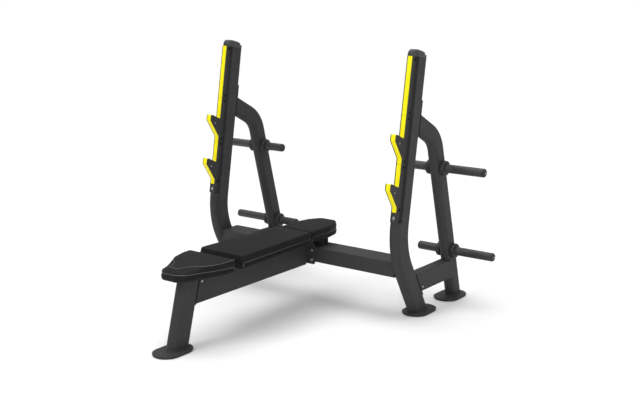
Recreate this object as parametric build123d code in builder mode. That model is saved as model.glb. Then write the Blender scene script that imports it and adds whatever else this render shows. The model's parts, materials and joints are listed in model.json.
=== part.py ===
from build123d import *
from math import cos, hypot, radians, sin, tan
import os

# Flat press bench with a fixed two-upright bar rack and four plate storage pegs.
# Frame: +X to the right, +Y towards the head end, +Z up. The origin is on the floor,
# midway between the uprights and midway between the front and rear ends of the feet.

os.makedirs("parts", exist_ok=True)

SIDES = (("left", -1), ("right", 1))

# Flat-oval frame tubes
rack_centre = 600.0
tube_width = 60.0
upright_depth = 120.0
leg_depth = 100.0
tube_wall = 3.0
nose_radius = tube_width / 2
below_floor = 60.0

# Front uprights: a lower run leaning forward, one bend, an upper run leaning back
upright_foot_y = 430.0
upright_bend_y = 215.0
upright_bend_z = 376.0
upright_bend_radius = 370.0
upright_lean = 9.43
upright_run = 955.0

# Rear legs: a lower run leaning forward, one bend, a short run up to the upright
leg_foot_y = 794.0
leg_bend_y = 551.0
leg_bend_z = 899.0
leg_bend_radius = 150.0
leg_top_lean = 62.0
leg_top_run = 260.0

# Front bench leg
bench_leg_foot_y = -735.0
bench_leg_lean = 15.4
bench_leg_top = 339.0

# Feet
rubber_height = 6.0
plate_height = 6.0
foot_top = rubber_height + plate_height
foot_length = 212.0
foot_width = 140.0
rubber_inset = 3.0
foot_edge = 1.5
front_foot_y = -760.0
upright_foot_plate_y = 440.0
rear_foot_y = 760.0

# Bar catch: two cut plates and a plastic liner between them, on a shelf in the tube
shelf_back = 24.0
shelf_thick = 4.0
ledge_thick = 5.0
catch_base = 140.0
catch_back = shelf_back + shelf_thick
plate_thick = 5.0
liner_width = 25.0
plate_front = 64.5
plate_tip = 141.0
liner_proud = 3.0
notch_heights = (313.0, 553.0)
floor_slope = 15.0
nose_drop = 14.0
throat_drop = 97.0
notch_radius = 7.0
tip_radius = 8.0
liner_seams = (189.5, 429.0, 668.0, upright_run)
seam_gap = 0.5
screw_edge = 14.75
screw_depth = 45.5
screw_radius = 4.0
screw_head_radius = 7.5
fit_gap = 0.2
pin_radius = 3.0
pin_depth = 106.0
pin_drop = 24.5
pin_proud = 1.5
filler_front = 60.0
filler_bolt_height = 162.0

# Upright caps
cap_height = 17.0
cap_crown = 36.0
cap_front = plate_front
cap_crown_back = 40.0
cap_shoulder = 5.0
cap_plug_size = (60.0, 46.0)
cap_plug_centre = -14.0
cap_plug_corner = 12.0
cap_plug_depth = 15.0

# Curved saddles between a tube's back and whatever is fixed to it. Two ears on a saddle
# reach into a box tube and take the small screws through the tube's side walls.
saddle_thick = 5.0
saddle_wrap = 16.0
leg_saddle_span = (575.0, 750.0)
saddle_bolt_heights = (704.0, 734.0)
ear_thick = 6.0
ear_half_height = 8.0
ear_back = 76.0
ear_front = 50.0
side_screw_depth = -62.0
side_screw_radius = 3.0
side_screw_head = 5.0

# Side braces between the uprights and the rear legs
brace_low = 120.0
brace_high = 221.0
brace_front = 330.0
brace_rear = 750.0
brace_saddle_span = (82.0, 226.0)
brace_screw_up = 130.0
box_wall = 4.0
box_corner = 4.0
box_bore_corner = 1.0

# Crossbeam and bench spine
beam_front = 228.0
beam_rear = 363.0
beam_low = 226.0
beam_high = 306.0
beam_end = 578.0
spine_width = 60.0
spine_front = -690.0
spine_low = 205.0
spine_high = 325.0
spine_saddle_span = (220.0, 353.0)
spine_screw_up = 336.0
spine_flange_width = 166.0
spine_flange_low = 214.0
spine_flange_thick = 8.0
spine_bolt_x = 66.0
spine_bolt_heights = (240.0, 291.0)
flange_corner = 10.0

# Plate storage pegs through the rear legs
peg_heights = (("lower", 272.0), ("upper", 738.0))
peg_radius = 22.5
peg_wall = 3.0
peg_outer_tip = 877.0
peg_inner_tip = 423.0
peg_cap_length = 10.0
peg_plug_length = 18.0
collar_radius = 39.0
collar_thick = 26.0
collar_edge = 8.0
collar_seat = 0.5

# Pads, their backing boards and the brackets under them
board_low = 345.0
board_thick = 12.0
board_inset = 8.0
seat_front = -778.0
seat_rear = -474.0
seat_top = 412.0
back_front = -420.0
back_rear = 156.0
back_top = 414.0
head_front = 166.0
head_rear = 468.0
head_top = 408.0
pad_edge = 12.0
bracket_depth = 40.0
bracket_wall = 4.0
bracket_spots = (-545.0, -350.0, 90.0, 195.0)
bracket_half_width = 80.0
beam_bracket_y = 300.0
beam_bracket_half_width = 100.0
pad_bolt_x = 60.0
leg_plate_bolt_x = 40.0
leg_plate_size = (100.0, 140.0)
leg_plate_corner = 20.0

# Fasteners
bolt_radius = 5.0
bolt_head_radius = 8.5
bolt_grip = 30.0
nut_radius = 9.8
nut_height = 8.0
filler_bolt_radius = 5.0
filler_bolt_head = 8.0


def save(part, name):
    """Label a finished piece and write it as its own file."""
    part.label = name
    export_step(part, f"parts/{name}.step")


def leaning_plane(x, y, z, lean):
    """Local x points forward, local y points up an axis that leans back by lean degrees."""
    forward = (0, -cos(radians(lean)), sin(radians(lean)))
    return Plane(origin=(x, y, z), x_dir=forward, z_dir=(-1, 0, 0))


def lower_lean():
    """Lean of the uprights' lower run, negative because it leans forward."""
    run = hypot(upright_foot_y - upright_bend_y, upright_bend_z)
    slope = (upright_foot_y - upright_bend_y) / run
    return -Vector(0, slope, upright_bend_z / run).get_angle(Vector(0, 0, 1))


def upper_frame(x):
    """Frame of an upright's upper run, from its bend point."""
    return leaning_plane(x, upright_bend_y, upright_bend_z, upright_lean)


def lower_frame(x):
    """Frame of an upright's lower run, from the floor."""
    return leaning_plane(x, upright_foot_y, 0, lower_lean())


def bench_leg_frame(x):
    """Frame of the front bench leg, from the floor."""
    return leaning_plane(x, bench_leg_foot_y, 0, bench_leg_lean)


def back_plane(frame, depth):
    """Plane square to a frame's forward direction, facing back, depth behind its axis."""
    origin = frame.origin - frame.x_dir * depth
    return Plane(origin=origin, x_dir=frame.z_dir, z_dir=-frame.x_dir)


def upright_stations():
    """Foot, bend and top of an upright's centre line, in Y and Z."""
    foot = lower_frame(0).origin - lower_frame(0).y_dir * below_floor
    top = upper_frame(0).origin + upper_frame(0).y_dir * upright_run
    return [(foot.Y, foot.Z), (upright_bend_y, upright_bend_z), (top.Y, top.Z)]


def leg_stations():
    """Foot, bend and top of a rear leg's centre line, in Y and Z."""
    slope = (leg_foot_y - leg_bend_y) / leg_bend_z
    lean = radians(leg_top_lean)
    foot = (leg_foot_y + slope * below_floor, -below_floor)
    top = (leg_bend_y - leg_top_run * sin(lean), leg_bend_z + leg_top_run * cos(lean))
    return [foot, (leg_bend_y, leg_bend_z), top]


def bench_leg_stations():
    """Two ends of the front bench leg's centre line, in Y and Z."""
    slope = tan(radians(bench_leg_lean))
    ends = (-below_floor, bench_leg_top + below_floor)
    return [(bench_leg_foot_y + slope * z, z) for z in ends]


def oval_bar(x, stations, bend_radius, depth, width):
    """Solid flat-oval bar along a centre line with at most one bend."""
    with BuildPart() as bar:
        with BuildLine(Plane.YZ.offset(x)) as axis:
            if len(stations) > 2:
                FilletPolyline(*stations, radius=bend_radius)
            else:
                Line(*stations)
        start = Plane(origin=axis.line @ 0, x_dir=(1, 0, 0), z_dir=axis.line % 0)
        with BuildSketch(start):
            SlotOverall(depth, width, rotation=90)
        sweep(path=axis.line)
    return bar.part


def oval_tube(x, stations, bend_radius, depth):
    """Hollow flat-oval tube, cut level where it stands on its foot plate."""
    bore_depth = depth - 2 * tube_wall
    bore_width = tube_width - 2 * tube_wall
    with BuildPart() as tube:
        add(oval_bar(x, stations, bend_radius, depth, tube_width))
        add(oval_bar(x, stations, bend_radius, bore_depth, bore_width), mode=Mode.SUBTRACT)
        split(bisect_by=Plane.XY.offset(foot_top), keep=Keep.TOP)
    return tube.part


def upright_bar(x, skin=0.0):
    """Outer shape of an upright, grown by a skin, used to fit its neighbours to it."""
    size = (upright_depth + 2 * skin, tube_width + 2 * skin)
    return oval_bar(x, upright_stations(), upright_bend_radius, *size)


def leg_bar(x):
    """Outer shape of a rear leg, used to fit its neighbours to it."""
    return oval_bar(x, leg_stations(), leg_bend_radius, leg_depth, tube_width)


def bench_leg_bar(skin=0.0):
    """Outer shape of the front bench leg, grown by a skin, to fit its neighbours to it."""
    size = (upright_depth + 2 * skin, tube_width + 2 * skin)
    return oval_bar(0, bench_leg_stations(), 0, *size)


def slab(frame, back, front, low, high, width):
    """Block in a leaning frame, centred on the frame's own plane."""
    with BuildPart() as block:
        with BuildSketch(frame):
            with Locations(((back + front) / 2, (low + high) / 2)):
                Rectangle(front - back, high - low)
        extrude(amount=width / 2, both=True)
    return block.part


def cross_rod(frame, spot, radius, length):
    """Rod along X, centred on a spot of a leaning frame."""
    with BuildPart() as rod:
        with BuildSketch(frame):
            with Locations(spot):
                Circle(radius)
        extrude(amount=length / 2, both=True)
    return rod.part


def catch_outline(front, tip, low, high):
    """Side outline of the catch between two heights, with every hook that lies there."""
    slope = tan(radians(floor_slope))
    points = [(catch_back, low), (front, low)]
    for notch in notch_heights:
        if low < notch < high:
            points.append((front, notch - throat_drop))
            points.append((tip, notch - nose_drop))
            points.append((tip, notch + slope * (tip - front)))
            points.append((front, notch))
    points.append((front, high))
    points.append((catch_back, high))
    return points


def catch_blank(frame, front, tip, low, high, thick, offset):
    """Cut blank with the catch outline, its hook corners rounded."""
    hooks = [notch for notch in notch_heights if low < notch < high]
    with BuildPart() as blank:
        with BuildSketch(frame.offset(offset)):
            with BuildLine():
                Polyline(*catch_outline(front, tip, low, high), close=True)
            make_face()
            tips = vertices().filter_by(lambda corner: abs(corner.X - tip) < 1)
            if hooks:
                fillet(tips, tip_radius)
                fillet(notch_corners(vertices(), front, hooks), notch_radius)
        extrude(amount=thick / 2, both=True)
    return blank.part


def notch_corners(corners, front, hooks):
    """Corners where the bar comes to rest, one for each hook."""
    found = []
    for notch in hooks:
        close = [c for c in corners if abs(c.X - front) < 1 and abs(c.Y - notch) < 1]
        found.extend(close)
    return found


def screw_spots():
    """Two screws through each liner piece, near its ends."""
    spots = []
    for low, high in zip(liner_seams, liner_seams[1:]):
        spots.append((screw_depth, low + screw_edge))
        spots.append((screw_depth, high - screw_edge))
    return spots


def pin_spots():
    """One pin through each hook."""
    return [(pin_depth, notch - pin_drop) for notch in notch_heights]


def flat_screw(length):
    """Through screw along local Z with a flush socket head at both ends."""
    half = length / 2
    cone = screw_head_radius - screw_radius
    with BuildPart() as screw:
        with BuildSketch(Plane.XZ):
            with BuildLine():
                Polyline(
                    (0, -half),
                    (screw_head_radius, -half),
                    (screw_radius, cone - half),
                    (screw_radius, half - cone),
                    (screw_head_radius, half),
                    (0, half),
                    close=True,
                )
            make_face()
        revolve(axis=Axis.Z)
        for end in (-half, half):
            with BuildSketch(Plane.XY.offset(end)):
                RegularPolygon(screw_radius * 0.75, 6)
            extrude(amount=screw_radius * 0.7 * (-1 if end > 0 else 1), mode=Mode.SUBTRACT)
    return screw.part


def hex_bolt(grip, head_radius, shank_radius):
    """Socket-head bolt along local Z: head above the origin, shank below it."""
    head_height = head_radius * 0.7
    with BuildPart() as bolt:
        Cylinder(head_radius, head_height, align=(Align.CENTER, Align.CENTER, Align.MIN))
        fillet(bolt.edges().group_by(Axis.Z)[-1], head_radius * 0.2)
        with BuildSketch(Plane.XY.offset(head_height)):
            RegularPolygon(head_radius * 0.45, 6)
        extrude(amount=-head_height * 0.6, mode=Mode.SUBTRACT)
        Cylinder(shank_radius, grip, align=(Align.CENTER, Align.CENTER, Align.MAX))
    return bolt.part


def hex_nut(shank_radius):
    """Nut along local Z, with its bearing face at the origin."""
    with BuildPart() as nut:
        with BuildSketch():
            RegularPolygon(nut_radius, 6)
            Circle(shank_radius + fit_gap, mode=Mode.SUBTRACT)
        extrude(amount=-nut_height)
    return nut.part


def saddle(bar, envelope, frame, span):
    """Curved strip hugging the back of a tube, between two heights up its frame."""
    back = -upright_depth / 2 - saddle_thick
    with BuildPart() as strip:
        add(slab(frame, back, back + saddle_wrap, *span, tube_width))
        add(envelope, mode=Mode.INTERSECT)
        add(bar, mode=Mode.SUBTRACT)
    return strip.part


def eared_saddle(bar, envelope, frame, span, screw_up):
    """Saddle with two screwed ears that fit inside a box tube's side walls."""
    inner = tube_width - 2 * box_wall
    ear_span = (screw_up - ear_half_height, screw_up + ear_half_height)
    with BuildPart() as strip:
        add(slab(frame, -ear_back, -ear_front, *ear_span, inner))
        add(slab(frame, -ear_back, -ear_front, *ear_span, inner - 2 * ear_thick),
            mode=Mode.SUBTRACT)
        add(bar, mode=Mode.SUBTRACT)
        add(saddle(bar, envelope, frame, span))
        add(cross_rod(frame, (side_screw_depth, screw_up), side_screw_radius + fit_gap,
                      tube_width), mode=Mode.SUBTRACT)
    return strip.part


# ---- Front uprights and what they carry ------------------------------------------


def build_uprights():
    for side, sign in SIDES:
        x = sign * rack_centre
        frame = upper_frame(x)
        cut_low = catch_base - ledge_thick
        cut_high = upright_run + below_floor
        with BuildPart() as front_upright:
            add(oval_tube(x, upright_stations(), upright_bend_radius, upright_depth))
            add(slab(frame, shelf_back, upright_depth, cut_low, cut_high, 2 * tube_width),
                mode=Mode.SUBTRACT)
            for height in saddle_bolt_heights:
                hole = back_plane(frame, upright_depth / 2)
                hole.origin = hole.origin + frame.y_dir * height
                with BuildSketch(hole):
                    Circle(bolt_radius + fit_gap)
                extrude(amount=-2 * saddle_wrap, mode=Mode.SUBTRACT)
        save(front_upright.part, f"front_upright_{side}")

        with BuildPart() as catch_shelf:
            add(slab(frame, shelf_back, catch_back, catch_base, upright_run, tube_width))
            with BuildPart(mode=Mode.PRIVATE) as ledge:
                add(upright_bar(x))
                add(slab(frame, shelf_back, upright_depth, cut_low, catch_base, tube_width),
                    mode=Mode.INTERSECT)
            add(ledge.part)
            bore = back_plane(frame, -upright_depth)
            bore.origin = bore.origin + frame.y_dir * filler_bolt_height
            with BuildSketch(bore):
                Circle(filler_bolt_radius + fit_gap)
            extrude(amount=upright_depth, mode=Mode.SUBTRACT)
        save(catch_shelf.part, f"catch_shelf_{side}")


def build_caps():
    for side, sign in SIDES:
        x = sign * rack_centre
        frame = upper_frame(x)
        back = -upright_depth / 2
        seat = Plane(
            origin=frame.origin + frame.y_dir * upright_run,
            x_dir=frame.x_dir,
            z_dir=frame.y_dir,
        )
        crown_low = upright_run + cap_height
        crown_high = upright_run + cap_crown
        with BuildPart() as upright_cap:
            with BuildSketch(seat):
                with Locations(((back + cap_front) / 2, 0)):
                    SlotOverall(cap_front - back, tube_width)
            extrude(amount=cap_height)
            rim = upright_cap.edges().sort_by(Axis(seat.origin, seat.z_dir))[-4:]
            fillet(rim, cap_shoulder)
            with BuildSketch(frame):
                with BuildLine():
                    front_low = (cap_front - 4, crown_low - 4)
                    crest = (cap_front * 0.4, crown_high)
                    back_high = (-cap_crown_back, crown_low + 9)
                    ThreePointArc(front_low, crest, back_high)
                    Polyline(back_high, (-cap_crown_back, crown_low - 4), front_low)
                make_face()
            extrude(amount=tube_width / 2 - cap_shoulder, both=True)
            with BuildSketch(seat):
                with Locations((cap_plug_centre, 0)):
                    RectangleRounded(*cap_plug_size, cap_plug_corner)
            extrude(amount=-cap_plug_depth)
        save(upright_cap.part, f"upright_cap_{side}")


def build_catches():
    plate_offset = (liner_width + plate_thick) / 2
    outer_width = liner_width + 2 * plate_thick
    for side, sign in SIDES:
        frame = upper_frame(sign * rack_centre)
        for place, away in (("outer", -sign), ("inner", sign)):
            with BuildPart() as catch_plate:
                add(catch_blank(frame, plate_front, plate_tip, catch_base, upright_run,
                                plate_thick, away * plate_offset))
                face = frame.offset(away * outer_width / 2)
                for spot in screw_spots():
                    add(cross_rod(frame, spot, screw_radius + fit_gap, outer_width),
                        mode=Mode.SUBTRACT)
                    add(screw_pocket(face, spot, away), mode=Mode.SUBTRACT)
                for spot in pin_spots():
                    add(cross_rod(frame, spot, pin_radius + fit_gap, outer_width),
                        mode=Mode.SUBTRACT)
            save(catch_plate.part, f"catch_plate_{place}_{side}")

        names = ("bottom", "middle", "top")
        front = plate_front + liner_proud
        tip = plate_tip + liner_proud
        for name, low, high in zip(names, liner_seams, liner_seams[1:]):
            with BuildPart() as bar_liner:
                add(catch_blank(frame, front, tip, low + seam_gap, high - seam_gap,
                                liner_width, 0))
                for spot in screw_spots():
                    add(cross_rod(frame, spot, screw_radius + fit_gap, outer_width),
                        mode=Mode.SUBTRACT)
                for spot in pin_spots():
                    add(cross_rod(frame, spot, pin_radius + fit_gap, outer_width),
                        mode=Mode.SUBTRACT)
            save(bar_liner.part, f"bar_liner_{name}_{side}")

        with BuildPart() as catch_screws:
            for spot in screw_spots():
                place = frame.location * Location((spot[0], spot[1], 0))
                with Locations(place):
                    add(flat_screw(outer_width))
        save(catch_screws.part, f"catch_screws_{side}")

        with BuildPart() as catch_filler:
            add(slab(frame, catch_back, filler_front, catch_base, liner_seams[0], liner_width))
            bore = back_plane(frame, -filler_front)
            bore.origin = bore.origin + frame.y_dir * filler_bolt_height
            with BuildSketch(bore):
                Circle(filler_bolt_radius + fit_gap)
            extrude(amount=filler_front, mode=Mode.SUBTRACT)
        save(catch_filler.part, f"catch_filler_{side}")


def screw_pocket(face, spot, away):
    """Cone that a flush screw head sits in, from a plate's outer face inwards."""
    depth = screw_head_radius - screw_radius
    with BuildPart() as pocket:
        with BuildSketch(face):
            with Locations(spot):
                Circle(screw_head_radius + fit_gap)
        with BuildSketch(face.offset(-away * depth)):
            with Locations(spot):
                Circle(screw_radius + fit_gap)
        loft()
    return pocket.part


def build_catch_fasteners():
    pin_length = liner_width + 2 * plate_thick + 2 * pin_proud
    with BuildPart() as hook_pins:
        for _, sign in SIDES:
            for spot in pin_spots():
                add(cross_rod(upper_frame(sign * rack_centre), spot, pin_radius, pin_length))
    save(hook_pins.part, "hook_pins")

    with BuildPart() as filler_bolts:
        for _, sign in SIDES:
            frame = upper_frame(sign * rack_centre)
            seat = back_plane(frame, -filler_front)
            seat.origin = seat.origin + frame.y_dir * filler_bolt_height
            with Locations(Plane(origin=seat.origin, z_dir=frame.x_dir).location):
                add(hex_bolt(filler_front - shelf_back + 6, filler_bolt_head,
                             filler_bolt_radius))
    save(filler_bolts.part, "filler_bolts")


# ---- Rear legs, braces and pegs ---------------------------------------------------


def build_rear_legs():
    for side, sign in SIDES:
        x = sign * rack_centre
        frame = upper_frame(x)
        envelope = upright_bar(x, saddle_thick)
        with BuildPart() as rear_leg:
            add(oval_tube(x, leg_stations(), leg_bend_radius, leg_depth))
            add(envelope, mode=Mode.SUBTRACT)
            for _, height in peg_heights:
                add(peg_rod(x, height, peg_radius + fit_gap, -tube_width, tube_width),
                    mode=Mode.SUBTRACT)
        save(rear_leg.part, f"rear_leg_{side}")

        with BuildPart() as leg_saddle:
            add(saddle(upright_bar(x), envelope, frame, leg_saddle_span))
            for height in saddle_bolt_heights:
                hole = back_plane(frame, upright_depth)
                hole.origin = hole.origin + frame.y_dir * height
                with BuildSketch(hole):
                    Circle(bolt_radius + fit_gap)
                extrude(amount=-upright_depth, mode=Mode.SUBTRACT)
        save(leg_saddle.part, f"leg_saddle_{side}")


def peg_centre_y(height):
    """Where a rear leg's centre line stands at a peg's height."""
    return leg_foot_y - (leg_foot_y - leg_bend_y) / leg_bend_z * height


def peg_rod(x, height, radius, start, end):
    """Rod along X at a peg's height, between two distances from a leg's centre."""
    with BuildPart() as rod:
        with BuildSketch(Plane.YZ.offset(x + start)):
            with Locations((peg_centre_y(height), height)):
                Circle(radius)
        extrude(amount=end - start)
    return rod.part


def build_braces():
    centre_z = (brace_low + brace_high) / 2
    screw = (side_screw_depth, brace_screw_up)
    for side, sign in SIDES:
        x = sign * rack_centre
        frame = lower_frame(x)
        envelope = upright_bar(x, saddle_thick)
        with BuildPart() as side_brace:
            with BuildSketch(Plane.XZ.offset(-brace_rear)):
                with Locations((x, centre_z)):
                    box_tube_sketch(tube_width, brace_high - brace_low)
            extrude(amount=brace_rear - brace_front)
            add(envelope, mode=Mode.SUBTRACT)
            add(leg_bar(x), mode=Mode.SUBTRACT)
            add(cross_rod(frame, screw, side_screw_radius + fit_gap, 2 * tube_width),
                mode=Mode.SUBTRACT)
        save(side_brace.part, f"side_brace_{side}")

        with BuildPart() as brace_saddle:
            add(eared_saddle(upright_bar(x), envelope, frame, brace_saddle_span,
                             brace_screw_up))
        save(brace_saddle.part, f"brace_saddle_{side}")


def build_pegs():
    for side, sign in SIDES:
        x = sign * rack_centre
        inner = sign * (peg_inner_tip - rack_centre)
        outer = sign * (peg_outer_tip - rack_centre)
        start, end = sorted((inner, outer))
        for level, height in peg_heights:
            with BuildPart() as plate_peg:
                add(peg_rod(x, height, peg_radius, start + peg_cap_length, end - peg_cap_length))
                add(collar_groove(x, height), mode=Mode.SUBTRACT)
                add(peg_rod(x, height, peg_radius - peg_wall, start, end), mode=Mode.SUBTRACT)
            save(plate_peg.part, f"plate_peg_{level}_{side}")

        with BuildPart() as peg_collars:
            for _, height in peg_heights:
                for face in (-1, 1):
                    low, high = sorted((face * nose_radius, face * (nose_radius + collar_thick)))
                    add(collar(x, height, low, high))
        save(peg_collars.part, f"peg_collars_{side}")

    with BuildPart() as peg_end_caps:
        for _, sign in SIDES:
            for _, height in peg_heights:
                for tip, face in ((peg_inner_tip, -1), (peg_outer_tip, 1)):
                    add(peg_end_cap(sign * tip, height, sign * face))
    save(peg_end_caps.part, "peg_end_caps")


def collar_groove(x, height):
    """Shallow ring off a peg where the leg and the two collars grip it."""
    half = nose_radius + collar_thick
    with BuildPart() as ring:
        add(peg_rod(x, height, collar_radius, -half, half))
        add(peg_rod(x, height, peg_radius - collar_seat, -half, half), mode=Mode.SUBTRACT)
    return ring.part


def collar(x, height, low, high):
    """Rubber collar that hugs a peg beside the leg, with rounded rims."""
    with BuildPart() as ring:
        add(peg_rod(x, height, collar_radius, low, high))
        rims = ring.edges().filter_by(GeomType.CIRCLE)
        fillet(rims, collar_edge)
        bore_radius = peg_radius - collar_seat + fit_gap
        add(peg_rod(x, height, bore_radius, low, high), mode=Mode.SUBTRACT)
    return ring.part


def peg_end_cap(tip, height, face):
    """Domed plug in a peg's open end, with a small dimple in its middle."""
    base = tip - face * peg_cap_length
    outward = Plane(origin=(base, peg_centre_y(height), height), z_dir=(face, 0, 0))
    with BuildPart() as plug:
        with BuildSketch(outward):
            Circle(peg_radius)
        extrude(amount=peg_cap_length)
        fillet(plug.edges().sort_by(Axis(outward.origin, outward.z_dir))[-1], peg_cap_length * 0.9)
        with BuildSketch(outward):
            Circle(peg_radius - peg_wall - fit_gap)
        extrude(amount=-peg_plug_length)
        with BuildSketch(outward.offset(peg_cap_length)):
            Circle(2.5)
        extrude(amount=-2, mode=Mode.SUBTRACT)
    return plug.part


# ---- Crossbeam, spine and front leg -----------------------------------------------


def box_tube_sketch(width, height):
    """Rectangular tube section with small outer corners."""
    RectangleRounded(width, height, box_corner)
    RectangleRounded(width - 2 * box_wall, height - 2 * box_wall, box_bore_corner,
                     mode=Mode.SUBTRACT)


def build_crossbeam():
    centre = ((beam_front + beam_rear) / 2, (beam_low + beam_high) / 2)
    with BuildPart() as crossbeam:
        with BuildSketch(Plane.YZ):
            with Locations(centre):
                box_tube_sketch(beam_rear - beam_front, beam_high - beam_low)
        extrude(amount=beam_end, both=True)
        for _, sign in SIDES:
            add(upright_bar(sign * rack_centre), mode=Mode.SUBTRACT)
        with BuildSketch(Plane.XZ.offset(-beam_front)):
            with Locations(*spine_bolt_spots()):
                Circle(bolt_radius + fit_gap)
        extrude(amount=-2 * box_wall, mode=Mode.SUBTRACT)
    save(crossbeam.part, "crossbeam")


def spine_bolt_spots():
    """Corners of the spine's rear flange, in X and Z."""
    return [(sign * spine_bolt_x, z) for _, sign in SIDES for z in spine_bolt_heights]


def build_spine():
    frame = bench_leg_frame(0)
    envelope = bench_leg_bar(saddle_thick)
    screw = (side_screw_depth, spine_screw_up)
    spine_end = beam_front - spine_flange_thick
    with BuildPart() as spine_beam:
        with BuildSketch(Plane.XZ.offset(-spine_end)):
            with Locations((0, (spine_low + spine_high) / 2)):
                box_tube_sketch(spine_width, spine_high - spine_low)
        extrude(amount=spine_end - spine_front)
        add(envelope, mode=Mode.SUBTRACT)
        add(cross_rod(frame, screw, side_screw_radius + fit_gap, 2 * tube_width),
            mode=Mode.SUBTRACT)
    save(spine_beam.part, "spine_beam")

    with BuildPart() as spine_rear_flange:
        with BuildSketch(Plane.XZ.offset(-beam_front)):
            with Locations((0, (spine_flange_low + spine_high) / 2)):
                RectangleRounded(spine_flange_width, spine_high - spine_flange_low,
                                 flange_corner)
            with Locations(*spine_bolt_spots()):
                Circle(bolt_radius + fit_gap, mode=Mode.SUBTRACT)
        extrude(amount=spine_flange_thick)
    save(spine_rear_flange.part, "spine_rear_flange")

    with BuildPart() as spine_saddle:
        add(eared_saddle(bench_leg_bar(), envelope, frame, spine_saddle_span, spine_screw_up))
    save(spine_saddle.part, "spine_saddle")


def build_front_leg():
    with BuildPart() as front_leg:
        add(oval_tube(0, bench_leg_stations(), 0, upright_depth))
        split(bisect_by=Plane.XY.offset(bench_leg_top), keep=Keep.BOTTOM)
    save(front_leg.part, "front_leg")

    with BuildPart() as front_leg_plate:
        with BuildSketch(Plane.XY.offset(bench_leg_top)):
            with Locations((0, bench_leg_top_y())):
                RectangleRounded(*leg_plate_size, leg_plate_corner)
            with Locations(*[(x, y) for x, y, _ in leg_plate_bolts()]):
                Circle(screw_radius + fit_gap, mode=Mode.SUBTRACT)
        extrude(amount=board_low - bench_leg_top)
    save(front_leg_plate.part, "front_leg_plate")


def bench_leg_top_y():
    """Where the front bench leg's centre line meets the plate on top of it."""
    return bench_leg_foot_y + tan(radians(bench_leg_lean)) * bench_leg_top


def leg_plate_bolts():
    """Bolts beside the leg, through its top plate, as X, Y and the head's seat."""
    y = bench_leg_top_y()
    return [(sign * leg_plate_bolt_x, y, bench_leg_top) for _, sign in SIDES]


# ---- Feet ---------------------------------------------------------------------------


def foot_spots():
    """Name and centre of each foot, in X and Y."""
    spots = [("front_foot_plate", 0, front_foot_y)]
    for side, sign in SIDES:
        spots.append((f"upright_foot_plate_{side}", sign * rack_centre, upright_foot_plate_y))
        spots.append((f"rear_foot_plate_{side}", sign * rack_centre, rear_foot_y))
    return spots


def build_feet():
    for name, x, y in foot_spots():
        with BuildPart() as foot_plate:
            with BuildSketch(Plane.XY.offset(rubber_height)):
                with Locations((x, y)):
                    SlotOverall(foot_length, foot_width, rotation=90)
            extrude(amount=plate_height)
            fillet(foot_plate.edges().group_by(Axis.Z)[-1], foot_edge)
        save(foot_plate.part, name)

    with BuildPart() as foot_pads:
        for _, x, y in foot_spots():
            with BuildSketch(Plane.XY):
                with Locations((x, y)):
                    SlotOverall(foot_length - 2 * rubber_inset, foot_width - 2 * rubber_inset,
                                rotation=90)
            extrude(amount=rubber_height)
    save(foot_pads.part, "foot_pads")


# ---- Pads ---------------------------------------------------------------------------


def seat_outline():
    """Right half of the seat from above: narrow chamfered nose, wide rear end."""
    return [(42, seat_front), (84, -742), (106, -667), (133, -600), (149, -530),
            (152, seat_rear)]


def back_outline():
    """Right half of the back pad from above: slightly narrower at the head end."""
    return [(148, back_front), (124, back_rear)]


def head_outline():
    """Right half of the head pad from above: tapered towards its rear end."""
    return [(112, head_front), (112, 330), (98, 400), (52, head_rear)]


def pad_face(outline):
    """Whole outline of a pad as a face, mirrored from its right half."""
    right = outline()
    left = [(-x, y) for x, y in reversed(right)]
    with BuildSketch() as whole:
        with BuildLine():
            Polyline(*right, *left, close=True)
        make_face()
    return whole.sketch


def pad_block(outline, top):
    """Closed pad shape with a pocket underneath for its backing board."""
    with BuildPart() as pad:
        with BuildSketch(Plane.XY.offset(board_low)):
            add(pad_face(outline))
            fillet(vertices(), pad_edge)
        extrude(amount=top - board_low)
        fillet(pad.edges().group_by(Axis.Z)[-1], pad_edge - 2)
        add(board_block(outline), mode=Mode.SUBTRACT)
    return pad.part


def board_block(outline):
    """Plywood board of a pad, a little smaller than the pad all round."""
    with BuildPart() as board:
        with BuildSketch(Plane.XY.offset(board_low)):
            add(pad_face(outline))
            offset(amount=-board_inset, kind=Kind.INTERSECTION)
        extrude(amount=board_thick)
    return board.part


def pad_bolt_spots():
    """Bolts from below into the boards, as X, Y and the height of the head's seat."""
    web_low = board_low - bracket_wall
    rows = (*bracket_spots, beam_bracket_y)
    spots = [(sign * pad_bolt_x, y, web_low) for y in rows for _, sign in SIDES]
    return spots + leg_plate_bolts()


def build_pads():
    pads = (
        ("seat", seat_outline, seat_top),
        ("back", back_outline, back_top),
        ("head", head_outline, head_top),
    )
    for name, outline, top in pads:
        with BuildPart() as soft_pad:
            add(pad_block(outline, top))
        save(soft_pad.part, f"{name}_pad")

        with BuildPart() as backing_board:
            add(board_block(outline))
            with BuildSketch(Plane.XY.offset(board_low)):
                with Locations(*[(x, y) for x, y, _ in pad_bolt_spots()]):
                    Circle(screw_radius + fit_gap)
            extrude(amount=board_thick - 1, mode=Mode.SUBTRACT)
        save(backing_board.part, f"{name}_board")


def bracket(y, low, half_width):
    """Upside-down channel across the bench, carrying a pad on its web."""
    height = board_low - low
    with BuildPart() as channel:
        with BuildSketch(Plane.YZ):
            with Locations((y, low + height / 2)):
                Rectangle(bracket_depth, height)
            with Locations((y, low + (height - bracket_wall) / 2)):
                Rectangle(bracket_depth - 2 * bracket_wall, height - bracket_wall,
                          mode=Mode.SUBTRACT)
        extrude(amount=half_width, both=True)
        with BuildSketch(Plane.XY.offset(board_low)):
            with Locations((-pad_bolt_x, y), (pad_bolt_x, y)):
                Circle(screw_radius + fit_gap)
        extrude(amount=-2 * bracket_wall, mode=Mode.SUBTRACT)
    return channel.part


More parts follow.
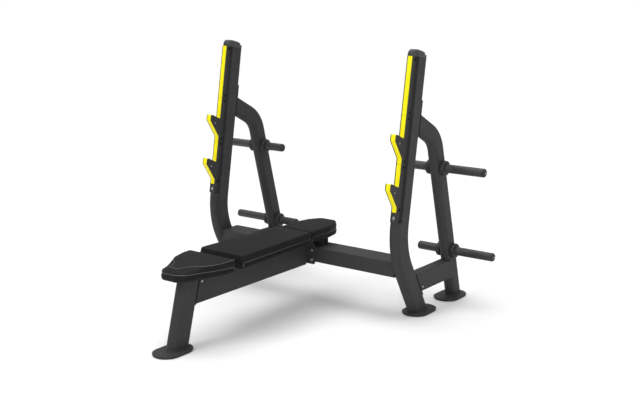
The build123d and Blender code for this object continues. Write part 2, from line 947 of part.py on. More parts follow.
def build_brackets():
    with BuildPart() as pad_brackets:
        for y in bracket_spots:
            add(bracket(y, spine_high, bracket_half_width))
    save(pad_brackets.part, "pad_brackets")

    with BuildPart() as head_bracket:
        add(bracket(beam_bracket_y, beam_high, beam_bracket_half_width))
    save(head_bracket.part, "head_bracket")


# ---- Fasteners ------------------------------------------------------------------------


def build_fasteners():
    with BuildPart() as pad_bolts:
        for x, y, seat in pad_bolt_spots():
            reach = board_low + board_thick - 2 - seat
            with Locations(Plane(origin=(x, y, seat), z_dir=(0, 0, -1)).location):
                add(hex_bolt(reach, screw_head_radius, screw_radius))
    save(pad_bolts.part, "pad_bolts")

    with BuildPart() as flange_bolts:
        for x, z in spine_bolt_spots():
            seat = Plane(origin=(x, beam_front - spine_flange_thick, z), z_dir=(0, -1, 0))
            with Locations(seat.location):
                add(hex_bolt(bolt_grip, bolt_head_radius, bolt_radius))
            inside = Plane(origin=(x, beam_front + box_wall, z), z_dir=(0, -1, 0))
            with Locations(inside.location):
                add(hex_nut(bolt_radius))
        for _, sign in SIDES:
            frame = upper_frame(sign * rack_centre)
            back = back_plane(frame, upright_depth / 2 + saddle_thick)
            for height in saddle_bolt_heights:
                spot = back.origin + frame.y_dir * height
                with Locations(Plane(origin=spot, z_dir=back.z_dir).location):
                    add(hex_bolt(bolt_grip, bolt_head_radius, bolt_radius))
    save(flange_bolts.part, "flange_bolts")

    joints = [(lower_frame(sign * rack_centre), brace_screw_up) for _, sign in SIDES]
    joints.append((bench_leg_frame(0), spine_screw_up))
    with BuildPart() as side_screws:
        for frame, up in joints:
            centre = frame.origin + frame.x_dir * side_screw_depth + frame.y_dir * up
            for face in (-1, 1):
                outward = Vector(face, 0, 0)
                seat = Plane(origin=centre + outward * tube_width / 2, z_dir=outward)
                with Locations(seat.location):
                    add(hex_bolt(box_wall + ear_thick, side_screw_head, side_screw_radius))
    save(side_screws.part, "side_screws")


build_uprights()
build_caps()
build_catches()
build_catch_fasteners()
build_rear_legs()
build_braces()
build_pegs()
build_crossbeam()
build_spine()
build_front_leg()
build_feet()
build_pads()
build_brackets()
build_fasteners()
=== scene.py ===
import json
from math import atan2, cos, pi, radians, sin

import bmesh
import bpy
from mathutils import Matrix, Vector
from mathutils.bvhtree import BVHTree
from mathutils.kdtree import KDTree


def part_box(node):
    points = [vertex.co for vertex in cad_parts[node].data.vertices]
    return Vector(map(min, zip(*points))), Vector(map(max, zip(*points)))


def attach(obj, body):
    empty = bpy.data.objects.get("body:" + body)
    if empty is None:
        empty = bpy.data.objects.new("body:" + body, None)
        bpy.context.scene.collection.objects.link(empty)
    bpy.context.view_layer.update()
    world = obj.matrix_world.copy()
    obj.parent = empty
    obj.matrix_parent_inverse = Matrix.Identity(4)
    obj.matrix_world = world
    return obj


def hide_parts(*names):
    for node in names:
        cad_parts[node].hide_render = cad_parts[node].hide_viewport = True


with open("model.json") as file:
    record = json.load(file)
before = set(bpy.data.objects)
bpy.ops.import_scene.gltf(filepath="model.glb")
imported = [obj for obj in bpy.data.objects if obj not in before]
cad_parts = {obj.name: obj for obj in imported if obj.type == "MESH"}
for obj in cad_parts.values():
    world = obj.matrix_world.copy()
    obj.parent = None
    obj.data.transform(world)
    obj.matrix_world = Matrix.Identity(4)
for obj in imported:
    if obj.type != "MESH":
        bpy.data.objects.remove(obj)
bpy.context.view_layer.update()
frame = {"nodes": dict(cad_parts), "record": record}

scene = bpy.context.scene

# Driving places of the bench, in metres
RACK = 0.600                          # middle of each upright, from the mid-plane
SIDES = (("left", -1), ("right", 1))
LEAN = radians(9.43)                  # backward lean of the uprights' upper run
BEND = Vector((0.0, 0.215, 0.376))    # where the lower and the upper run meet
FLOOR_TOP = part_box("foot_pads")[0].z
PLATE_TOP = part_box("front_foot_plate")[1].z
BOARD_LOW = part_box("seat_board")[0].z


# ---- Camera, floor and light --------------------------------------------------------

FLOOR_SIZE = 400.0
FLOOR_GAP = 0.0002      # keeps the floor off the undersides of the feet


def add_camera():
    """A camera at eye height in front and to the right, looking slightly down."""
    spot = Vector((3.282, -4.008, 1.719))
    ahead = Vector((-0.5851, 0.7824, -0.2130))
    camera = bpy.data.objects.new("camera", bpy.data.cameras.new("camera"))
    camera.location = spot
    camera.rotation_euler = ahead.to_track_quat("-Z", "Y").to_euler()
    camera.data.lens = 58.49
    camera.data.sensor_width = 36.0
    camera.data.clip_end = FLOOR_SIZE
    scene.collection.objects.link(camera)
    scene.camera = camera


def add_floor():
    """A pale floor so wide that its far edge never shows."""
    below = FLOOR_TOP - FLOOR_GAP
    bpy.ops.mesh.primitive_plane_add(size=FLOOR_SIZE, location=(0, 0, below))
    floor = bpy.context.object
    floor.name = "studio_floor"
    paint = bpy.data.materials.new("pale floor")
    paint.use_nodes = True
    shader = paint.node_tree.nodes["Principled BSDF"]
    shader.inputs["Base Color"].default_value = (0.85, 0.85, 0.85, 1)
    shader.inputs["Roughness"].default_value = 0.9
    shader.inputs["Specular IOR Level"].default_value = 0.1
    floor.data.materials.append(paint)


def add_light(name, kind, spot, aim, power, **settings):
    """A lamp at a spot, turned to face an aim."""
    lamp = bpy.data.lights.new(name, kind)
    lamp.energy = power
    for key, value in settings.items():
        setattr(lamp, key, value)
    light = bpy.data.objects.new(name, lamp)
    light.location = spot
    direction = Vector(aim) - Vector(spot)
    light.rotation_euler = direction.to_track_quat("-Z", "Y").to_euler()
    scene.collection.objects.link(light)


def add_lights():
    """A white sky that is dimmer near the horizon, a broad overhead light and two boxes."""
    horizon = 0.10
    overhead = 0.82
    world = bpy.data.worlds.new("studio")
    world.use_nodes = True
    tree = world.node_tree
    backdrop = tree.nodes["Background"]
    backdrop.inputs["Color"].default_value = (1, 1, 1, 1)
    direction = tree.nodes.new("ShaderNodeTexCoord")
    split = tree.nodes.new("ShaderNodeSeparateXYZ")
    rise = tree.nodes.new("ShaderNodeMapRange")
    for key, number in (("From Min", 0.0), ("From Max", 0.7), ("To Min", horizon),
                        ("To Max", overhead)):
        rise.inputs[key].default_value = number
    tree.links.new(direction.outputs["Generated"], split.inputs["Vector"])
    tree.links.new(split.outputs["Z"], rise.inputs["Value"])
    tree.links.new(rise.outputs["Result"], backdrop.inputs["Strength"])
    scene.world = world
    add_light("soft_overhead", "SUN", (-0.9, -0.1, 5), (0, 0, 0), 1.60, angle=radians(55))
    add_light("high_front", "AREA", (-1.4, -4.4, 4.4), (0, -0.4, 0.5), 60, size=1.5)
    add_light("front_box", "AREA", (4.2, -3.4, 2.4), (0, 0, 0.6), 42, size=2.6)
    scene.view_settings.view_transform = "Standard"


# ---- Materials ------------------------------------------------------------------------

# The colour sockets of a mix node, by number because its sockets share their names
MIX_FIRST = 6
MIX_SECOND = 7
MIX_RESULT = 2


class Finish:
    """A principled material with small helpers for patterns on Object coordinates."""

    def __init__(self, name, colour, roughness, metallic=0.0, specular=0.5):
        self.material = bpy.data.materials.new(name)
        self.material.use_nodes = True
        self.tree = self.material.node_tree
        self.shader = self.tree.nodes["Principled BSDF"]
        self.shader.inputs["Base Color"].default_value = (*colour, 1)
        self.shader.inputs["Roughness"].default_value = roughness
        self.shader.inputs["Metallic"].default_value = metallic
        self.shader.inputs["Specular IOR Level"].default_value = specular
        self.place = self.node("ShaderNodeTexCoord").outputs["Object"]

    def node(self, kind, **settings):
        made = self.tree.nodes.new(kind)
        for key, value in settings.items():
            setattr(made, key, value)
        return made

    def link(self, start, end):
        self.tree.links.new(start, end)

    def noise(self, scale, detail=3.0, roughness=0.5, stretch=None):
        texture = self.node("ShaderNodeTexNoise")
        texture.inputs["Scale"].default_value = scale
        texture.inputs["Detail"].default_value = detail
        texture.inputs["Roughness"].default_value = roughness
        self.link(self.stretched(stretch), texture.inputs["Vector"])
        return texture.outputs["Fac"]

    def stretched(self, stretch):
        """The piece's own place, scaled along each axis."""
        if stretch is None:
            return self.place
        mapping = self.node("ShaderNodeMapping")
        mapping.inputs["Scale"].default_value = stretch
        self.link(self.place, mapping.inputs["Vector"])
        return mapping.outputs["Vector"]

    def cells(self, scale):
        """0 on the borders between small cells, rising to their middles."""
        texture = self.node("ShaderNodeTexVoronoi", feature="DISTANCE_TO_EDGE")
        texture.inputs["Scale"].default_value = scale
        self.link(self.place, texture.inputs["Vector"])
        return texture.outputs["Distance"]

    def spread(self, value, low, high, to_low=0.0, to_high=1.0):
        """The range from low to high stretched to another range, clamped."""
        ranged = self.node("ShaderNodeMapRange")
        for key, number in (("From Min", low), ("From Max", high),
                            ("To Min", to_low), ("To Max", to_high)):
            ranged.inputs[key].default_value = number
        self.link(value, ranged.inputs["Value"])
        return ranged.outputs["Result"]

    def sum(self, first, second, share):
        """First plus second times share."""
        add = self.node("ShaderNodeMath", operation="MULTIPLY_ADD")
        self.link(second, add.inputs[0])
        add.inputs[1].default_value = share
        self.link(first, add.inputs[2])
        return add.outputs["Value"]

    def product(self, first, second):
        times = self.node("ShaderNodeMath", operation="MULTIPLY")
        self.link(first, times.inputs[0])
        self.link(second, times.inputs[1])
        return times.outputs["Value"]

    def blend(self, mask, first, second):
        """Mix of two colours, each a triple or an output."""
        mix = self.node("ShaderNodeMix", data_type="RGBA")
        self.link(mask, mix.inputs["Factor"])
        for name, colour in ((MIX_FIRST, first), (MIX_SECOND, second)):
            if isinstance(colour, tuple):
                mix.inputs[name].default_value = (*colour, 1)
            else:
                self.link(colour, mix.inputs[name])
        return mix.outputs[MIX_RESULT]

    def edges(self, radius):
        """1 on convex and concave edges, 0 on flats, worked out from rounded normals."""
        rounded = self.node("ShaderNodeBevel", samples=6)
        rounded.inputs["Radius"].default_value = radius
        plain = self.node("ShaderNodeNewGeometry")
        dot = self.node("ShaderNodeVectorMath", operation="DOT_PRODUCT")
        self.link(rounded.outputs["Normal"], dot.inputs[0])
        self.link(plain.outputs["Normal"], dot.inputs[1])
        return self.spread(dot.outputs["Value"], 0.98, 0.80)

    def up_faces(self):
        """1 where the surface looks up, 0 where it is upright or looks down."""
        facing = self.node("ShaderNodeNewGeometry")
        split = self.node("ShaderNodeSeparateXYZ")
        self.link(facing.outputs["Normal"], split.inputs["Vector"])
        return self.spread(split.outputs["Z"], 0.35, 0.85)

    def rough_by(self, value, low, high):
        """Roughness that wanders between low and high."""
        self.link(self.spread(value, 0.3, 0.7, low, high), self.shader.inputs["Roughness"])

    def coloured(self, colour):
        self.link(colour, self.shader.inputs["Base Color"])

    def bumped(self, height, distance, strength, round_edges=0.0):
        """Relief of a height in metres, over edges softened by a radius."""
        bump = self.node("ShaderNodeBump")
        bump.inputs["Strength"].default_value = strength
        bump.inputs["Distance"].default_value = distance
        self.link(height, bump.inputs["Height"])
        if round_edges:
            rounded = self.node("ShaderNodeBevel", samples=6)
            rounded.inputs["Radius"].default_value = round_edges
            self.link(rounded.outputs["Normal"], bump.inputs["Normal"])
        self.link(bump.outputs["Normal"], self.shader.inputs["Normal"])


def scaled(colour, share):
    return tuple(channel * share for channel in colour)


def powder_coat():
    base = (0.043, 0.0435, 0.044)
    coat = Finish("charcoal powder coat", base, 0.55, specular=0.12)
    specks = coat.noise(1500, 2)
    peel = coat.noise(260, 2)
    cloud = coat.noise(7, 4)
    tone = coat.blend(coat.spread(cloud, 0.3, 0.7), scaled(base, 0.93), scaled(base, 1.07))
    tone = coat.blend(coat.spread(specks, 0.62, 0.74), tone, scaled(base, 1.35))
    worn = coat.product(coat.edges(0.0016), coat.spread(coat.noise(30, 4), 0.42, 0.66))
    coat.coloured(coat.blend(worn, tone, scaled(base, 1.8)))
    coat.rough_by(coat.noise(45, 3), 0.46, 0.58)
    coat.bumped(coat.sum(specks, peel, 0.8), 0.00016, 0.55, round_edges=0.0008)
    return coat.material


def peg_coat():
    base = (0.048, 0.0485, 0.049)
    coat = Finish("satin peg coat", base, 0.42, metallic=0.2, specular=0.25)
    turned = coat.noise(900, 2, stretch=(3.0, 0.05, 0.05))
    rub = coat.noise(18, 5, 0.65, stretch=(0.6, 1, 1))
    tone = coat.blend(coat.spread(rub, 0.45, 0.72), base, scaled(base, 1.5))
    coat.coloured(tone)
    coat.rough_by(coat.noise(60, 3), 0.34, 0.47)
    coat.bumped(coat.sum(turned, coat.noise(1400, 2), 0.5), 0.00008, 0.5, round_edges=0.0008)
    return coat.material


def leatherette():
    base = (0.009, 0.009, 0.0095)
    hide = Finish("black grained leatherette", base, 0.42, specular=0.15)
    pebbles = hide.spread(hide.cells(620), 0.0, 0.32)
    fine = hide.noise(1500, 3)
    creases = hide.noise(38, 4, 0.6)
    tone = hide.blend(pebbles, scaled(base, 0.62), base)
    tone = hide.blend(hide.spread(creases, 0.45, 0.75), tone, scaled(base, 1.35))
    hide.coloured(tone)
    hide.rough_by(hide.sum(creases, fine, 0.15), 0.46, 0.60)
    hide.bumped(hide.sum(pebbles, fine, 0.25), 0.00035, 0.6)
    return hide.material


# Painted highlight: the welts' leatherette is far lighter than the pad's, so the lit edge of
# the piping is painted into its colour
def welt_leather_painted_highlight():
    base = (0.085, 0.085, 0.087)
    welt = Finish("welt leatherette, painted highlight", base, 0.36, specular=0.5)
    grain = welt.cells(900)
    welt.coloured(welt.blend(welt.noise(120, 3), scaled(base, 0.8), scaled(base, 1.2)))
    welt.rough_by(welt.noise(200, 2), 0.30, 0.44)
    welt.bumped(grain, 0.0002, 0.5)
    return welt.material


def liner_plastic():
    base = (0.96, 0.84, 0.006)
    liner = Finish("yellow liner plastic", base, 0.42, specular=0.18)
    mottle = liner.noise(26, 4)
    scuffs = liner.noise(90, 6, 0.7, stretch=(0.25, 1, 1))
    tone = liner.blend(liner.spread(mottle, 0.3, 0.7), scaled(base, 0.97), (0.98, 0.87, 0.010))
    rubbed = liner.product(liner.up_faces(), liner.spread(scuffs, 0.52, 0.66))
    liner.coloured(liner.blend(rubbed, tone, (0.55, 0.45, 0.03)))
    liner.rough_by(liner.noise(300, 2), 0.32, 0.45)
    liner.bumped(liner.sum(liner.noise(700, 2), scuffs, 0.4), 0.00012, 0.5)
    return liner.material


def moulded_rubber():
    base = (0.020, 0.020, 0.021)
    rubber = Finish("black moulded rubber", base, 0.56, specular=0.35)
    bloom = rubber.noise(35, 5, 0.6)
    rubber.coloured(rubber.blend(rubber.spread(bloom, 0.4, 0.75), base, scaled(base, 1.7)))
    rubber.rough_by(rubber.noise(140, 3), 0.48, 0.66)
    rubber.bumped(rubber.sum(rubber.noise(900, 3), rubber.noise(2200, 1), 0.5), 0.00018, 0.6)
    return rubber.material


def moulded_plastic():
    base = (0.040, 0.040, 0.042)
    plastic = Finish("black moulded plastic", base, 0.42, specular=0.45)
    spark = plastic.cells(1300)
    cloud = plastic.noise(40, 3)
    plastic.coloured(plastic.blend(cloud, scaled(base, 0.9), scaled(base, 1.12)))
    plastic.rough_by(plastic.noise(220, 2), 0.36, 0.48)
    plastic.bumped(plastic.sum(spark, plastic.noise(1800, 2), 0.6), 0.00012, 0.5)
    return plastic.material


def bright_zinc():
    base = (0.62, 0.62, 0.63)
    zinc = Finish("bright zinc", base, 0.22, metallic=1.0)
    haze = zinc.noise(160, 4, 0.6)
    zinc.coloured(zinc.blend(zinc.spread(haze, 0.35, 0.7), scaled(base, 0.85), base))
    zinc.rough_by(haze, 0.16, 0.34)
    zinc.bumped(zinc.noise(2500, 2), 0.00004, 0.5)
    return zinc.material


def black_oxide():
    base = (0.004, 0.004, 0.005)
    oxide = Finish("black oxide steel", base, 0.5, specular=0.12)
    haze = oxide.noise(300, 4, 0.6)
    oxide.coloured(oxide.blend(oxide.spread(haze, 0.4, 0.7), base, scaled(base, 1.8)))
    oxide.rough_by(haze, 0.42, 0.6)
    oxide.bumped(oxide.noise(2500, 2), 0.00004, 0.5)
    return oxide.material


def plywood():
    base = (0.040, 0.032, 0.026)
    wood = Finish("black-stained plywood", base, 0.62, specular=0.3)
    grain = wood.noise(30, 5, 0.6, stretch=(6, 0.5, 6))
    plies = wood.node("ShaderNodeTexWave", bands_direction="Z")
    plies.inputs["Scale"].default_value = 170
    wood.link(wood.place, plies.inputs["Vector"])
    tone = wood.blend(wood.spread(grain, 0.3, 0.7), scaled(base, 0.75), scaled(base, 1.2))
    wood.coloured(wood.blend(plies.outputs["Fac"], tone, scaled(base, 0.8)))
    wood.rough_by(grain, 0.55, 0.7)
    wood.bumped(grain, 0.0003, 0.5)
    return wood.material


SLOT_FINISH = {
    "frame_coat": powder_coat(),
    "pad_leather": leatherette(),
    "liner_yellow": liner_plastic(),
    "black_rubber": moulded_rubber(),
    "black_plastic": moulded_plastic(),
    "bright_steel": bright_zinc(),
    "black_steel": black_oxide(),
    "board_wood": plywood(),
}
SLOT_OF = {part["node"]: part["material_slot"] for part in frame["record"]["subparts"]}
PEG_FINISH = peg_coat()
WELT_PAINTED_HIGHLIGHT_FINISH = welt_leather_painted_highlight()


def set_finish(piece, material):
    piece.data.materials.clear()
    piece.data.materials.append(material)


def dress_frame():
    """Gives every CAD node the finish of its slot."""
    for name, piece in frame["nodes"].items():
        peg = name.startswith("plate_peg")
        set_finish(piece, PEG_FINISH if peg else SLOT_FINISH[SLOT_OF[name]])


# ---- Shared steps -----------------------------------------------------------------------

def deselect():
    if bpy.context.object and bpy.context.object.mode != "OBJECT":
        bpy.ops.object.mode_set(mode="OBJECT")
    bpy.ops.object.select_all(action="DESELECT")


def pick(piece):
    deselect()
    piece.select_set(True)
    bpy.context.view_layer.objects.active = piece


def apply_place(piece):
    pick(piece)
    bpy.ops.object.transform_apply(location=True, rotation=True, scale=True)


def apply_modifier(piece, kind, **settings):
    pick(piece)
    modifier = piece.modifiers.new(kind.lower(), kind)
    for key, value in settings.items():
        setattr(modifier, key, value)
    bpy.ops.object.modifier_apply(modifier=modifier.name)


def smooth(piece, angle=35):
    pick(piece)
    bpy.ops.object.shade_smooth_by_angle(angle=radians(angle))


def select_parts(piece, kind, chosen):
    """Edit mode, with only the chosen vertices, edges or faces selected."""
    pick(piece)
    bpy.ops.object.mode_set(mode="EDIT")
    bpy.ops.mesh.select_mode(type=kind)
    bpy.ops.mesh.select_all(action="DESELECT")
    mesh = bmesh.from_edit_mesh(piece.data)
    parts = {"VERT": mesh.verts, "EDGE": mesh.edges, "FACE": mesh.faces}[kind]
    for part in parts:
        if chosen(part):
            part.select = True
    bmesh.update_edit_mesh(piece.data)


def looks_up(face):
    return face.normal.z > 0.9


def turn_outwards(piece, merge=0.0):
    """Points every face outwards, after merging vertices nearer than merge."""
    pick(piece)
    bpy.ops.object.mode_set(mode="EDIT")
    bpy.ops.mesh.select_all(action="SELECT")
    if merge:
        bpy.ops.mesh.remove_doubles(threshold=merge)
    bpy.ops.mesh.normals_make_consistent(inside=False)
    bpy.ops.object.mode_set(mode="OBJECT")


def add_tube(name, line, radius, steps, closed=False, swell=lambda i: 1.0):
    """A round tube along a line, each point's radius times swell, as one closed mesh."""
    path = bpy.data.curves.new(name, "CURVE")
    path.dimensions = "3D"
    path.bevel_depth = radius
    path.bevel_resolution = steps
    path.use_fill_caps = not closed
    spline = path.splines.new("POLY")
    spline.use_cyclic_u = closed
    spline.points.add(len(line) - 1)
    for i, (point, place) in enumerate(zip(spline.points, line)):
        point.co = (*place, 1)
        point.radius = swell(i)
    tube = bpy.data.objects.new(name, path)
    scene.collection.objects.link(tube)
    pick(tube)
    bpy.ops.object.convert(target="MESH")
    turn_outwards(tube, merge=0.00005)
    return tube


def hand_over(piece, slot, nodes=(), material=None):
    """The last steps for every new piece: its finish, taken from its slot unless a material is
    given, its body, and hiding the nodes it stands for.
    """
    set_finish(piece, material or SLOT_FINISH[slot])
    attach(piece, "root")
    if nodes:
        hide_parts(*nodes)


# ---- Pads ---------------------------------------------------------------------------------

# Cover, seams and foam, in metres
RING_POINTS = 180
CORNER_STEPS = 5
SIDE_CORNER = 0.010                 # corner radius of the seat's widest outline
TOP_CORNER = 0.005                  # corner radius of its top panel
BOX_CORNER = 0.014                  # corner radius of the back and head pads
PAD_CROWN = 0.003                   # rise of the middle of a pad's top
DOME_SHARES = (0.93, 0.82, 0.66, 0.45, 0.22)
DOME_POWER = 2.6
CLOTH_MESH = 0.004
CLOTH_PRESSURE = 3.0
CLOTH_FRAMES = 20
SWELL_LIMIT = 0.006                 # how far any point of a cover may move
SEWN_REACH = 0.010                  # how far from a seam the cover is still held
STAPLED_BELOW = BOARD_LOW + 0.006
SEAM_DEPTH = 0.0022
SEAM_WIDTH = 0.0065
WELT_RADIUS = 0.0016
SEAM_BEND = 0.014                   # radius where a seam turns down at its end
SEAM_FOOT = 0.350                   # height where it then ends
TURN_STEPS = 6
SEAT_SEAM_REAR = -0.477             # rows where the seams turn down
BACK_SEAM_ROWS = (-0.4185, 0.1545)
HEAD_SEAM_FRONT = 0.1675

# Outlines of the right halves, front to rear, in millimetres
SEAT_SIDE = [(42, -778), (84, -742), (106, -667), (133, -600), (149, -530), (152, -474)]
SEAT_TOP = [(29, -742), (46, -692), (66, -666), (95, -650), (129, -606), (146, -538),
            (150, -476)]
BACK_SIDE = [(148, -420), (124, 156)]
HEAD_SIDE = [(112, 166), (112, 330), (98, 400), (52, 468)]

# Heights along the seat, in millimetres: front row, its height, rear row, its height
SEAT_SEAM_SLOPE = (-778, 380, -474, 371)
SEAT_FLANK_SLOPE = (-778, 394, -474, 392)
SEAT_TOP_SLOPE = (-742, 405, -474, 409)

# The two box-shaped pads, in millimetres: height of the top and of the side seam
BACK_TOP = 413
BACK_SEAM = 372.5
HEAD_TOP = 409
HEAD_SEAM = 371
EDGE_INSET = 7.0        # how far in from the side the foam's upper edge lies
EDGE_DROP = 8.0         # and how far below the top

# Rings of a pad, each an inset and a height in millimetres: rolled under at the board,
# drawn in at the seam
SEAT_ROLL = ((8, 345.4), (3.5, 348), (1.5, 354), (3, 360), (8, 366))
BOX_ROLL = ((8, 345.4), (3, 348), (1, 354), (3, 360), (9, 366), (4, 372), (2, 378),
            (4.5, 392))


def mirrored(right):
    """A closed outline from its right half, front to rear."""
    return right + [(-x, y) for x, y in reversed(right)]


def rounded_outline(points, radius):
    """Outline with each corner turned into an arc-like curve."""
    shape = []
    count = len(points)
    for i in range(count):
        corner = Vector(points[i])
        before = Vector(points[i - 1]) - corner
        after = Vector(points[(i + 1) % count]) - corner
        reach = min(radius, before.length * 0.45, after.length * 0.45)
        start = corner + before.normalized() * reach
        end = corner + after.normalized() * reach
        for k in range(CORNER_STEPS + 1):
            t = k / CORNER_STEPS
            shape.append(start * (1 - t) ** 2 + corner * 2 * t * (1 - t) + end * t ** 2)
    return shape


def even_outline(shape, count):
    """The same closed line at count evenly spaced points, from the front middle round."""
    total = sum((shape[i] - shape[i - 1]).length for i in range(len(shape)))
    front = max(range(len(shape)), key=lambda i: (-round(shape[i].y, 4), shape[i].x))
    loop = shape[front:] + shape[:front] + [shape[front]]
    lengths = [0.0]
    for first, second in zip(loop, loop[1:]):
        lengths.append(lengths[-1] + (second - first).length)
    spaced = []
    k = 0
    for i in range(count):
        target = total * i / count
        while lengths[k + 1] < target:
            k += 1
        share = (target - lengths[k]) / max(lengths[k + 1] - lengths[k], 1e-9)
        spaced.append(loop[k].lerp(loop[k + 1], share))
    return spaced


def drawn_in(points, inset):
    """A closed many-sided outline with every side moved inwards by inset.

    It runs with its inside on the left.
    """
    corners = [Vector(point) for point in points]
    moved = []
    for i, corner in enumerate(corners):
        before = (corner - corners[i - 1]).normalized()
        after = (corners[(i + 1) % len(corners)] - corner).normalized()
        inward = Vector((-before.y - after.y, before.x + after.x)).normalized()
        reach = inset / inward.dot(Vector((-after.y, after.x)))
        moved.append(corner + inward * reach)
    return moved


def pad_core(name, rings):
    """Closed solid through outlines at rising heights, with a gently domed top."""
    mesh = bmesh.new()
    loops = []
    for outline, height in rings:
        loops.append([mesh.verts.new((p.x, p.y, height(p))) for p in outline])
    rim, height = rings[-1]
    middle = sum(rim, Vector((0, 0))) / RING_POINTS
    for share in DOME_SHARES:
        rise = PAD_CROWN * (1 - share ** DOME_POWER)
        loops.append([mesh.verts.new((*(middle + (p - middle) * share), height(p) + rise))
                      for p in rim])
    for low, high in zip(loops, loops[1:]):
        for i in range(RING_POINTS):
            k = (i + 1) % RING_POINTS
            mesh.faces.new((low[i], low[k], high[k], high[i]))
    mesh.faces.new(list(reversed(loops[0])))
    mesh.faces.new(loops[-1])
    bmesh.ops.recalc_face_normals(mesh, faces=mesh.faces)
    data = bpy.data.meshes.new(name)
    mesh.to_mesh(data)
    mesh.free()
    pad = bpy.data.objects.new(name, data)
    scene.collection.objects.link(pad)
    return pad


def stuff_pad(pad, held):
    """Swells the cover under pressure, while held(point) says how firmly it is sewn."""
    apply_modifier(pad, "REMESH", mode="VOXEL", voxel_size=CLOTH_MESH)
    swell_cover(pad, held)
    apply_modifier(pad, "SMOOTH", iterations=2, factor=0.5)
    apply_modifier(pad, "SUBSURF", levels=1, render_levels=1)
    smooth(pad, 80)


def swell_cover(pad, held):
    """Runs the cloth over its frames, and keeps its shape within the limit."""
    start = [vertex.co.copy() for vertex in pad.data.vertices]
    group = pad.vertex_groups.new(name="sewn")
    for i, point in enumerate(start):
        group.add([i], held(point), "REPLACE")
    pick(pad)
    cloth = pad.modifiers.new("cloth", "CLOTH")
    cloth.settings.use_pressure = True
    cloth.settings.uniform_pressure_force = CLOTH_PRESSURE
    cloth.settings.quality = 4
    cloth.settings.mass = 0.4
    cloth.settings.tension_stiffness = 22
    cloth.settings.compression_stiffness = 22
    cloth.settings.shear_stiffness = 10
    cloth.settings.bending_stiffness = 4
    cloth.settings.vertex_group_mass = group.name
    cloth.settings.pin_stiffness = 1.0
    cloth.settings.effector_weights.gravity = 0
    cloth.collision_settings.use_collision = False
    cloth.point_cache.frame_start = 1
    cloth.point_cache.frame_end = CLOTH_FRAMES
    for step in range(1, CLOTH_FRAMES + 1):
        scene.frame_set(step)
    bpy.ops.object.modifier_apply(modifier=cloth.name)
    scene.frame_set(1)
    pad.vertex_groups.clear()
    for vertex, home in zip(pad.data.vertices, start):
        move = vertex.co - home
        if move.length > SWELL_LIMIT:
            vertex.co = home + move.normalized() * SWELL_LIMIT


def near_lines(lines):
    """A search tree of points every millimetre along some lines."""
    points = []
    for line in lines:
        for first, second in zip(line, line[1:]):
            pieces = max(1, round((second - first).length / 0.001))
            points += [first.lerp(second, k / pieces) for k in range(pieces)]
        points.append(line[-1])
    tree = KDTree(len(points))
    for i, point in enumerate(points):
        tree.insert(point, i)
    tree.balance()
    return tree


def press_seams(pad, lines):
    """Draws the cover in along seam lines, as rounded channels."""
    tree = near_lines(lines)
    normals = [vertex.normal.copy() for vertex in pad.data.vertices]
    for vertex, normal in zip(pad.data.vertices, normals):
        gap = tree.find(vertex.co)[2]
        if gap < SEAM_WIDTH:
            share = gap / SEAM_WIDTH
            vertex.co -= normal * SEAM_DEPTH * (1 - share * share) ** 2


def on_cover(pad, points):
    """Points moved onto the cover, each to the nearest place."""
    tree = BVHTree.FromObject(pad, bpy.context.evaluated_depsgraph_get())
    return [tree.find_nearest(Vector(point))[0] for point in points]


def soft_line(points):
    """A line with its steps eased twice, its two ends kept."""
    for _ in range(2):
        eased = [points[i] * 0.5 + (points[i - 1] + points[i + 1]) * 0.25
                 for i in range(1, len(points) - 1)]
        points = [points[0], *eased, points[-1]]
    return points


def metres(points):
    return [(x / 1000, y / 1000) for x, y in points]


def pad_ring(points, radius, inset=0.0):
    """Closed ring of a pad from its right half in millimetres, drawn in by inset."""
    corners = drawn_in(mirrored(metres(points)), inset / 1000)
    return even_outline(rounded_outline(corners, radius), RING_POINTS)


def mixed_ring(first, second, share):
    return [a.lerp(b, share) for a, b in zip(first, second)]


def level(height):
    """The same height all round a ring, from millimetres."""
    return lambda p: height / 1000


def sloping(front_y, front, rear_y, rear):
    """A height that runs straight from front to rear, from millimetres."""
    def height(p):
        share = (p.y * 1000 - front_y) / (rear_y - front_y)
        return (front + (rear - front) * min(max(share, 0), 1)) / 1000
    return height


def sewn_by(lines):
    """How firmly the cover is held: fully at the seams and where it is stapled below."""
    tree = near_lines(lines)

    def held(point):
        if point.z < STAPLED_BELOW:
            return 1.0
        return max(0.0, 1 - tree.find(point)[2] / SEWN_REACH)
    return held


def turned_end(start, row, turn, height):
    """A seam's end: a quarter turn beside start that arrives at a row, then straight down.

    turn is 1 where the seam comes to the row from the rear, and -1 from the front.
    """
    line = []
    for k in range(TURN_STEPS + 1):
        angle = pi / 2 * k / TURN_STEPS
        line.append(Vector((start.x, row + turn * SEAM_BEND * (1 - sin(angle)),
                            height(start) - SEAM_BEND * (1 - cos(angle)))))
    line.append(Vector((start.x, row, SEAM_FOOT)))
    return line


def side_seam(outline, height, rows):
    """Seam along an outline's part between two rows, turning down at each end."""
    front, rear = rows
    along = [p for p in outline if front + SEAM_BEND < p.y < rear - SEAM_BEND]
    along.sort(key=lambda p: p.y)
    level_run = [Vector((p.x, p.y, height(p))) for p in along]
    front_end = turned_end(along[0], front, 1, height)
    rear_end = turned_end(along[-1], rear, -1, height)
    return list(reversed(front_end)) + level_run + rear_end


def u_seam(outline, height, rear):
    """Seam round the front of an outline, both ends turned down at the rear row."""
    run = [p for p in outline if p.y < rear - SEAM_BEND]
    middle = max(range(len(run)), key=lambda i: (run[i] - run[i - 1]).length)
    run = run[middle:] + run[:middle]
    first_end, last_end = (turned_end(p, rear, -1, height) for p in (run[0], run[-1]))
    level_run = [Vector((p.x, p.y, height(p))) for p in run]
    return list(reversed(first_end)) + level_run + last_end


